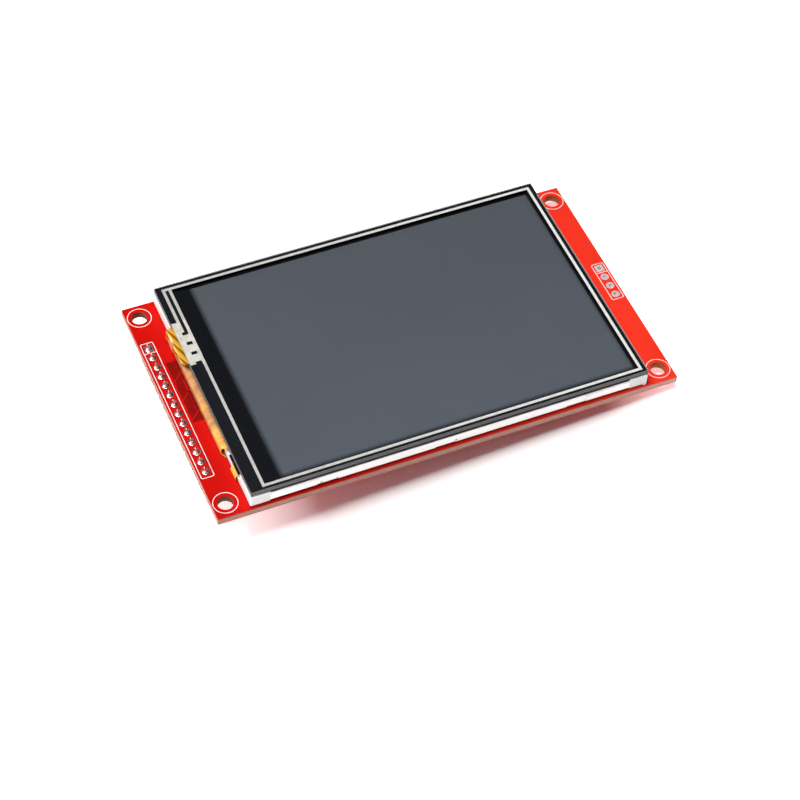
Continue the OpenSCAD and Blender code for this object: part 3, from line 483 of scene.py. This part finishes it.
def amber_film():
    """Copper under amber cover film, brighter towards the near end, with painted highlights on two folds
    and painted shade in the creases across its width.
    """
    maker = Maker("amber_flex", (0.52, 0.24, 0.09), 0.38, 0.05, Coat_Weight=0.3, Coat_Roughness=0.2)
    near = low("display_flex").y
    fine = maker.span(maker.noise(900.0, 3.0, (0.1, 1, 0.1)), 0.0, 1.0, 0.35, 0.65)
    brown = maker.mix(fine, (0.40, 0.17, 0.06), (0.66, 0.31, 0.12))
    orange = maker.mix(fine, (0.80, 0.36, 0.05), (0.98, 0.52, 0.10))
    towards_near = maker.span(maker.axis("Y"), 1.0, 0.0, near + 0.5 * MM, near + 7 * MM)
    base = maker.mix(towards_near, brown, orange)
    # painted highlight: two bright bands where the film folds
    painted_light = maker.math("MAXIMUM", maker.inside("Y", near + 10.8 * MM, near + 12.2 * MM, 0.5 * MM),
                      maker.inside("Y", near + 4.2 * MM, near + 5.6 * MM, 0.5 * MM))
    base = maker.mix(maker.math("MULTIPLY", painted_light, 0.6), base, (0.95, 0.50, 0.09))
    # painted shade: a dark line in each crease
    for place in CREASES:
        crease = maker.inside("Y", near + place, near + place + 0.08 * MM, 0.12 * MM)
        base = maker.mix(maker.math("MULTIPLY", crease, 0.65), base, (0.22, 0.08, 0.02))
    maker.paint(base)
    maker.roughen(700.0, 0.08)
    maker.bump(maker.noise(420.0, 3.0, (0.15, 1, 0.15)), 0.5, 0.00012)
    return maker.material


def moulded_frame():
    """White moulding, with a grey strip along the tops of its low long walls: painted shade under the
    touch panel's edge.
    """
    maker = Maker("white_plastic", (0.82, 0.82, 0.81), 0.42)
    grain = maker.span(maker.noise(420.0, 4.0), 0.0, 1.0)
    white = maker.mix(grain, (0.80, 0.80, 0.79), (0.84, 0.84, 0.83))
    wall_top = high("steel_tray").z
    # painted shade: the tops of the low walls are grey, as in the shade under the touch panel
    level = maker.inside("Z", wall_top, wall_top + 0.2 * MM, 0.04 * MM)
    painted_shade_strip = maker.math("MULTIPLY", level, maker.math("SUBTRACT", 1.0, maker.upright()))
    maker.paint(maker.mix(painted_shade_strip, white, (0.24, 0.24, 0.245)))
    maker.roughen(720.0, 0.06)
    maker.bump(maker.noise(1200.0, 5.0), 0.12, 0.00002)
    return maker.material


def tinned():
    """Metallic solder left of the middle, duller levelled tin right of it.

    Faces of the left joints that look to the right are painted dark, as if they reflected a dark
    side of the room.
    """
    maker = Maker("tin", (0.6, 0.6, 0.6), 0.25, 1.0)
    right = maker.span(maker.axis("X"), 0.0, 1.0, -10 * MM, 10 * MM)
    grain = maker.span(maker.noise(900.0, 4.0), 0.0, 1.0)
    joint = maker.mix(grain, (0.78, 0.78, 0.79), (0.94, 0.94, 0.93))
    joint = maker.mix(maker.span(maker.facing("X"), 0.0, 1.0, 0.05, 0.4), joint, (0.16, 0.15, 0.15))
    flat = maker.mix(grain, (0.58, 0.59, 0.60), (0.80, 0.80, 0.80))
    # painted light: the upright walls in the pads' holes are near white, standing in for the bright
    # floor seen through them
    pad = maker.mix(maker.upright(), flat, (0.97, 0.97, 0.96))
    maker.paint(maker.mix(right, joint, pad))
    maker.link(maker.span(right, 1.0, 0.15, 0.0, 1.0), maker.shader.inputs["Metallic"])
    maker.roughen(540.0, 0.08)
    maker.bump(maker.noise(900.0, 5.0), 0.3, 0.00004)
    return maker.material


def steel_sheet():
    """Steel rolled along X, with painted shade in the gap at the tray's left end and in small notches
    along its walls.
    """
    maker = Maker("steel", (0.86, 0.86, 0.85), 0.32, 0.85)
    rolled = (0.05, 1, 1)
    grain = maker.span(maker.noise(1600.0, 4.0, rolled), 0.0, 1.0)
    left = low("steel_tray").x
    # painted shade: a dark line in the gap at the tray's left end, where the steel meets the white frame
    dark = maker.inside("X", left - 1 * MM, left + 0.1 * MM, 0.1 * MM)
    # painted shade: small dark marks in the notches along the walls
    for x, z in SHADED_NICKS:
        nick = maker.math("MULTIPLY", maker.inside("X", x, x + 2 * NICK_HALF, NICK_SOFT),
                          maker.inside("Z", z - NICK_HALF, z + NICK_HALF, NICK_SOFT))
        dark = maker.math("MAXIMUM", dark, maker.math("MULTIPLY", nick, 0.8))
    plain = maker.mix(grain, (0.82, 0.82, 0.81), (0.88, 0.88, 0.87))
    maker.paint(maker.mix(maker.math("MULTIPLY", dark, maker.upright()), plain, (0.06, 0.06, 0.065)))
    maker.roughen(960.0, 0.07, rolled)
    maker.bump(maker.noise(1600.0, 5.0, rolled), 0.08, 0.00002)
    return maker.material


# Masks on flat faces, each as (x0, x1, y0, y1)
# Active area behind the touch panel
ACTIVE = (low("front_polariser").x + 1.7 * MM, high("front_polariser").x - 0.4 * MM,
          low("front_polariser").y + 1.45 * MM, high("front_polariser").y - 0.1 * MM)
# Patch of the board without copper, from beside the pin header to under the display
BARE = (high("header_pads").x + 1.1 * MM, middle("circuit_board").x, -4.4 * MM, 12.1 * MM)
# Cut edge of the touch film, painted bright as if it caught the light
BRIGHT_EDGE = (high("touch_film").x - 0.18 * MM, high("touch_film").x + 1 * MM,
               low("touch_film").y, high("touch_film").y - 3.5 * MM)
# Nicks in the tray's walls, each as (x, z), painted dark as shade in the notches
SHADED_NICKS = ((-28.0 * MM, 1.2 * MM), (0.3 * MM, 1.3 * MM), (28.5 * MM, 2.6 * MM))
NICK_HALF = 0.2 * MM
NICK_SOFT = 0.1 * MM
# Creases across the display flex, measured from its near edge; each is painted as a dark line of shade
CREASES = (2.0 * MM, 3.1 * MM, 6.0 * MM, 6.6 * MM, 11.7 * MM, 12.3 * MM)

TIN = tinned()
MASK = solder_mask("red_mask", False)
FINISHES = {
    "red_mask": MASK,
    "white_print": finish_material((0.84, 0.80, 0.78), 0.6, 0.0, 2500.0, name="white_print"),
    "tin": TIN,
    "black_plastic": finish_material((0.012, 0.012, 0.013), 0.45, 0.0, 1400.0, 0.08, 0.2, 0.3,
                                     name="black_plastic"),
    "pin_metal": finish_material((0.82, 0.80, 0.74), 0.2, 1.0, 1500.0, 0.06, 0.04, 0.08,
                                 stretch=(1, 1, 0.1), name="pin_metal"),
    "foam": finish_material((0.02, 0.02, 0.02), 0.9, 0.0, 1800.0, 0.05, 0.3, 0.6, name="foam"),
    "steel": steel_sheet(),
    "white_film": finish_material((0.9, 0.9, 0.9), 0.5, 0.0, 1500.0, name="white_film"),
    "clear_plastic": finish_material((0.85, 0.9, 0.92), 0.2, 0.0, 600.0, name="clear_plastic"),
    "amber_flex": amber_film(),
    "diode": finish_material((0.85, 0.8, 0.5), 0.4, 0.0, 1200.0, name="diode"),
    "optical_film": finish_material((0.8, 0.83, 0.86), 0.6, 0.0, 1200.0, name="optical_film"),
    "white_plastic": moulded_frame(),
    "black_tape": finish_material((0.0025, 0.0038, 0.0068), 0.6, 0.0, 1500.0, 0.08, 0.2, 0.15,
                                  name="black_tape", Specular_IOR_Level=0.15),
    "polariser": screen(),
    "display_glass": finish_material((0.10, 0.13, 0.14), 0.12, 0.0, 500.0, 0.02, 0.05, 0.02,
                                     name="display_glass"),
    "silicon": finish_material((0.05, 0.055, 0.065), 0.18, 0.3, 900.0, 0.03, 0.1, 0.02,
                               name="silicon"),
    "black_ink": finish_material((0.0025, 0.0042, 0.0078), 0.5, 0.0, 1200.0, 0.04, 0.15, 0.05,
                                 name="black_ink", Specular_IOR_Level=0.2),
    "clear_glass": clear_sheet("clear_glass", (0.95, 0.955, 0.96), 0.03, 0.014,
                               (0.12, 0.115, 0.13), None, low("touch_glass").z + 0.1 * MM),
    "silver_ink": silver_print(),
    # the film's frosted cut edges are a lighter grey than the glass's: partly their own colour, partly
    # painted highlight
    "clear_film": clear_sheet("clear_film", (0.98, 0.98, 0.98), 0.04, 0.028,
                              (0.30, 0.30, 0.30), BRIGHT_EDGE, low("touch_film").z - 1 * MM),
    "gold_flex": golden_flex(),
    "gold": finish_material((0.86, 0.62, 0.26), 0.22, 1.0, 1000.0, 0.06, 0.05, 0.05, name="gold"),
    "chip_black": finish_material((0.018, 0.018, 0.02), 0.5, 0.0, 2200.0, 0.08, 0.2, 0.35,
                                  name="chip_black"),
    "resistor": finish_material((0.012, 0.012, 0.015), 0.2, 0.0, 900.0, 0.05, 0.1, 0.1,
                                name="resistor"),
    "ceramic": finish_material((0.38, 0.25, 0.14), 0.45, 0.0, 1500.0, 0.06, 0.12, 0.15,
                               name="ceramic"),
}


def dress_nodes():
    """Gives every CAD node the finish of its slot."""
    for part in frame["record"]["subparts"]:
        data = NODES[part["node"]].data
        data.materials.clear()
        data.materials.append(FINISHES[part["material_slot"]])


# ---- tracks, printing and solder -----------------------------------------------------------

BACK = low("circuit_board").z
SKIN = 0.03 * MM          # how far a masked track stands off the board
TRACK = 0.3 * MM          # width of a signal track behind the board
FINE_TRACK = 0.28 * MM    # the same on the front
RIM_TRACK = 0.5 * MM      # front track along the far edge of the patch without copper
POWER_TRACK = 0.9 * MM
PITCH = 0.5 * MM          # from one parallel track to the next
SLANT_STARTS = (6.4 * MM, 1.4 * MM, -3.9 * MM)
BENT_X = -43.5 * MM       # the bent front track runs straight along Y at this place
BENT_Y = (3.1 * MM, 6.2 * MM)


def track_ends():
    """Places that the tracks run between, each as (x, y)."""
    pins = sorted(loose_boxes("header_pins"), key=lambda b: -b[0].y)
    contacts = loose_boxes("socket_contacts")
    leads = [b for b in loose_boxes("controller_leads") if b[1].y < middle("touch_controller").y]
    return ([centre(b) for b in pins], [(centre(b)[0], b[0].y) for b in contacts],
            [(centre(b)[0], b[0].y) for b in leads])


def make_back_tracks(material):
    """Masked copper tracks: from the pins to the touch controller, the socket and the chips."""
    pins, contacts, leads = track_ends()
    build = Builder()
    z0, z1 = BACK - SKIN, BACK + SKIN / 4
    # last five pins to the touch controller's near leads
    for index, (pin, lead) in enumerate(zip(pins[-5:], leads[:5])):
        level = lead[1] - (index + 1) * PITCH
        bend = pin[0] + (4 + index) * MM
        rise = level - pin[1]
        build.ribbon([pin, (bend, pin[1]), (bend + rise, level), (lead[0], level), lead],
                     TRACK, z0, z1)
    # four middle pins to the socket's contacts
    for index, (pin, contact) in enumerate(zip(pins[5:9], contacts[1:8:2])):
        level = high("controller_leads").y + (3 - index) * PITCH + 0.4 * MM
        second = contact[1] - (index + 1) * PITCH
        bend = pin[0] + 6 * MM
        jog = contacts[0][0] - 9 * MM
        build.ribbon([pin, (bend, pin[1]), (bend + abs(pin[1] - level), level), (jog, level),
                      (jog + abs(level - second), second), (contact[0], second), contact],
                     TRACK, z0, z1)
    # supply: first pin to the regulator, and on to the capacitors beside it
    regulator = middle("voltage_regulator")
    pin = pins[0]
    bend = pin[0] + 3 * MM
    build.ribbon([pin, (bend, pin[1]), (bend + pin[1] - regulator.y, regulator.y),
                  (regulator.x - 2.2 * MM, regulator.y), (regulator.x - 1.2 * MM, regulator.y + 1 * MM),
                  (regulator.x - 0.95 * MM, regulator.y + 1.9 * MM)], POWER_TRACK, z0, z1)
    # card header to the socket's side
    end = high("socket_shell").x + 1.2 * MM
    for index, box in enumerate(loose_boxes("card_header_pads")):
        x, y = centre(box)
        bend = x - 3 * MM
        drop = (index - 1.5) * 0.9 * MM
        build.ribbon([(x, y), (bend, y), (bend - abs(drop), y + drop), (end, y + drop)],
                     TRACK, z0, z1)
    build.finish("back_tracks", "red_mask", material)


def make_front_tracks(material):
    """Masked tracks over the front patch without copper, from the pin header to the display."""
    build = Builder()
    start_x = BARE[0] - 0.1 * MM
    end_x = low("plastic_frame").x + 0.6 * MM
    rim_y = BARE[3] - 0.2 * MM
    z0, z1 = -SKIN / 4, SKIN
    build.ribbon([(start_x, rim_y), (end_x, rim_y)], RIM_TRACK, z0, z1)
    for y in SLANT_STARTS:
        build.ribbon([(start_x, y), (end_x, y + end_x - start_x)], FINE_TRACK, z0, z1)
    build.ribbon([(BENT_X, BENT_Y[0]), (BENT_X, BENT_Y[1]), (end_x, BENT_Y[1] + end_x - BENT_X)],
                 FINE_TRACK, z0, z1)
    build.finish("front_tracks", "red_mask", material)


VIA_R = 0.42 * MM
VIA_STEP = (0.9 * MM, 1.1 * MM)       # from one via to the next in a staggered column
CHIP_VIAS = ((4.6, 1.2), (4.6, -1.4), (-4.4, 1.6), (6.0, -5.2), (9.5, -5.2))     # mm from the controller


def make_vias(material):
    """Tented vias: two staggered groups behind the display flex's soldered end, some by the chips."""
    build = Builder()
    x = high("display_flex").x + 2 * MM
    mid = (low("flex_solder").y + high("flex_solder").y) / 2
    places = []
    for start, count in ((mid - 8.1 * MM, 6), (mid + 4.4 * MM, 2)):
        places += [(x + VIA_STEP[0] * (index % 2), start + VIA_STEP[1] * index)
                   for index in range(count)]
    controller = middle("touch_controller")
    places += [(controller.x + dx * MM, controller.y + dy * MM) for dx, dy in CHIP_VIAS]
    for px, py in places:
        build.dome(px, py, BACK + SKIN / 4, VIA_R, -2.2 * SKIN)
    build.finish("vias", "red_mask", material, smooth=True)


PRINT_LINE = 0.15 * MM
PRINT_GAP = 0.35 * MM     # from a part to the line beside it


def bar(build, x0, x1, y0, y1, z0, z1):
    build.prism([(x0, y0), (x1, y0), (x1, y1), (x0, y1)], z0, z1)


def outline(build, x0, x1, y0, y1, width, z0, z1):
    """Printed rectangle drawn as four bars."""
    for side in ((x0, x1, y0, y0 + width), (x0, x1, y1 - width, y1),
                 (x0, x0 + width, y0 + width, y1 - width), (x1 - width, x1, y0 + width, y1 - width)):
        bar(build, *side, z0, z1)


def make_back_print(material):
    """Plain white lines round and beside the parts behind the board."""
    build = Builder()
    z0, z1 = BACK - 0.02 * MM, BACK + 0.005 * MM
    for node, grow in (("header_base", PRINT_GAP), ("touch_controller", -0.3 * MM)):
        outline(build, low(node).x - grow, high(node).x + grow, low(node).y - grow, high(node).y + grow,
                PRINT_LINE, z0, z1)
    for node in ("voltage_regulator", "backlight_transistor"):
        for x in (low(node).x - PRINT_GAP, high(node).x + PRINT_GAP - PRINT_LINE):
            bar(build, x, x + PRINT_LINE, low(node).y, high(node).y, z0, z1)
    for node in ("chip_resistors", "chip_capacitors"):
        for box in loose_boxes(node):
            for y in (box[0].y - PRINT_GAP / 2 - PRINT_LINE, box[1].y + PRINT_GAP / 2):
                bar(build, box[0].x, box[1].x, y, y + PRINT_LINE, z0, z1)
    shell_low, shell_high = low("socket_shell"), high("socket_shell")
    for x in (shell_low.x - PRINT_GAP, shell_high.x + PRINT_GAP - PRINT_LINE):
        bar(build, x, x + PRINT_LINE, shell_high.y - 9 * MM, shell_high.y - 0.5 * MM, z0, z1)
    build.finish("back_print", "white_print", material)


LEAD_FILLET_H = 0.16 * MM


def make_fillets(material):
    """Solder fillets at the chip parts' ends, the chips' leads and the socket's contacts."""
    build = Builder()
    top = BACK + 0.01 * MM

    def beside(box, direction, reach, height):
        x, y = centre(box)
        half = ((box[1].x - box[0].x) / 2, (box[1].y - box[0].y) / 2)
        place = Vector((x + direction[0] * half[0], y + direction[1] * half[1], top))
        width = 2 * (half[1] if direction[0] else half[0])
        build.fillet(place, (*direction, 0), width * 0.92, reach, height)

    bodies = [centre(b)[0] for b in loose_boxes("chip_resistors") + loose_boxes("chip_capacitors")]
    for box in loose_boxes("chip_part_ends"):
        x = centre(box)[0]
        body = min(bodies, key=lambda c: abs(c - x))
        beside(box, (1 if x > body else -1, 0), 0.3 * MM, (top - box[0].z) * 0.7)
    for node, chips in (("controller_leads", ("touch_controller",)),
                        ("small_chip_leads", ("voltage_regulator", "backlight_transistor"))):
        for box in loose_boxes(node):
            y = centre(box)[1]
            chip = min((middle(c).y for c in chips), key=lambda m: abs(m - y))
            beside(box, (0, 1 if y > chip else -1), 0.22 * MM, LEAD_FILLET_H)
    for box in loose_boxes("socket_contacts"):
        beside(box, (0, -1), 0.3 * MM, LEAD_FILLET_H)
    build.finish("solder_fillets", "tin", material, smooth=True)


dress_nodes()
RAISED_MASK = solder_mask("raised_mask", True)
make_back_tracks(RAISED_MASK)
make_front_tracks(RAISED_MASK)
make_vias(RAISED_MASK)
make_back_print(FINISHES["white_print"])
make_fillets(TIN)


# ---- camera, floor and light ---------------------------------------------------------------

AIM = Vector((-5.4, -13.7, 0.0)) * MM
CAMERA_DISTANCE = 458.6 * MM
CAMERA_AZIMUTH = math.radians(-26.19)
CAMERA_ELEVATION = math.radians(50.89)
CAMERA_ROLL = math.radians(3.97)
LENS = 104.37
SENSOR = 36.0

FLOOR_HALF = 3.0
FLOOR_GAP = 0.05 * MM     # how far the floor lies under what it carries
GLOW = 0.65               # light that the floor gives off at its left and right, to thin the shadow
GLOW_LEFT = (-41 * MM, -27 * MM)      # x where the left glow is full, and where it ends
GLOW_RIGHT = (34 * MM, 52 * MM)       # x where the right glow starts, and where it is full

# Strength of the world along an axis of its direction, as (from, to, strength there, strength there)
WORLD_FADES = (("Z", (0.2, 0.55, 0.27, 0.005)), ("X", (-0.2, 0.5, 1.0, 0.3)))


def make_camera():
    data = bpy.data.cameras.new("camera")
    data.lens = LENS
    data.sensor_width = SENSOR
    camera = bpy.data.objects.new("camera", data)
    bpy.context.scene.collection.objects.link(camera)
    back = Vector((math.sin(CAMERA_AZIMUTH) * math.cos(CAMERA_ELEVATION),
                   -math.cos(CAMERA_AZIMUTH) * math.cos(CAMERA_ELEVATION),
                   math.sin(CAMERA_ELEVATION)))
    right = (-back).cross(Vector((0, 0, 1))).normalized()
    turn = Matrix.Rotation(CAMERA_ROLL, 3, back)
    right = turn @ right
    up = back.cross(right)
    camera.matrix_world = Matrix.Translation(AIM + back * CAMERA_DISTANCE) @ Matrix(
        (right, up, back)).transposed().to_4x4()
    bpy.context.scene.camera = camera


def make_floor():
    """Floor under the pin tips and the card socket's far lower edge, tilted as the module rests.

    It gives off light of its own at its left and right, which thins the shadow there.
    """
    tips = Vector((middle("header_pins").x, 0, low("header_pins").z))
    edge = Vector((high("socket_body").x, 0, low("socket_shell").z))
    along = (edge - tips).normalized()
    across = Vector((0, 1, 0))
    origin = tips - along.cross(across) * FLOOR_GAP
    corners = [origin + along * a * FLOOR_HALF + across * b * FLOOR_HALF
               for a, b in ((-1, -1), (1, -1), (1, 1), (-1, 1))]
    mesh = bpy.data.meshes.new("floor")
    mesh.from_pydata(corners, [], [(0, 1, 2, 3)])
    floor = bpy.data.objects.new("floor", mesh)
    bpy.context.scene.collection.objects.link(floor)
    maker = Maker("floor", (0.92, 0.92, 0.92), 0.8, Specular_IOR_Level=0.1)
    maker.mottle(4.0, 0.01)
    painted_light = maker.math("MAXIMUM", maker.span(maker.axis("X"), GLOW, 0.0, *GLOW_LEFT),
                      maker.span(maker.axis("X"), 0.0, GLOW, *GLOW_RIGHT))
    maker.link(painted_light, maker.shader.inputs["Emission Strength"])
    maker.shader.inputs["Emission Color"].default_value = (1, 1, 1, 1)
    mesh.materials.append(maker.material)


def area_light(name, place, aim, size, power):
    data = bpy.data.lights.new(name, "AREA")
    data.shape = "RECTANGLE"
    data.size, data.size_y = size
    data.energy = power
    lamp = bpy.data.objects.new(name, data)
    bpy.context.scene.collection.objects.link(lamp)
    lamp.location = place
    lamp.rotation_mode = "QUATERNION"
    lamp.rotation_quaternion = (Vector(place) - Vector(aim)).to_track_quat("Z", "Y")


def make_light():
    """Key light from above and a second from the left, in a world that is bright at the sides,
    nearly black overhead and dimmer to the right."""
    world = bpy.data.worlds.new("studio")
    world.use_nodes = True
    tree = world.node_tree
    place = tree.nodes.new("ShaderNodeTexCoord")
    parts = tree.nodes.new("ShaderNodeSeparateXYZ")
    tree.links.new(place.outputs["Generated"], parts.inputs[0])
    strength = tree.nodes.new("ShaderNodeMath")
    strength.operation = "MULTIPLY"
    for index, (letter, spans) in enumerate(WORLD_FADES):
        fade = tree.nodes.new("ShaderNodeMapRange")
        for key, value in zip(("From Min", "From Max", "To Min", "To Max"), spans):
            fade.inputs[key].default_value = value
        tree.links.new(parts.outputs[letter], fade.inputs["Value"])
        tree.links.new(fade.outputs["Result"], strength.inputs[index])
    tree.links.new(strength.outputs[0], tree.nodes["Background"].inputs["Strength"])
    tree.nodes["Background"].inputs["Color"].default_value = (1, 1, 1, 1)
    bpy.context.scene.world = world
    area_light("key", (-0.22, 0.06, 0.97), (0, 0, 0), (0.45, 0.45), 11.7)
    area_light("left", (-0.8, -0.08, 0.16), (0, 0, 0), (0.5, 0.3), 4.2)
    bpy.context.scene.view_settings.view_transform = "Standard"
    bpy.context.scene.view_settings.look = "None"


make_camera()
make_floor()
make_light()
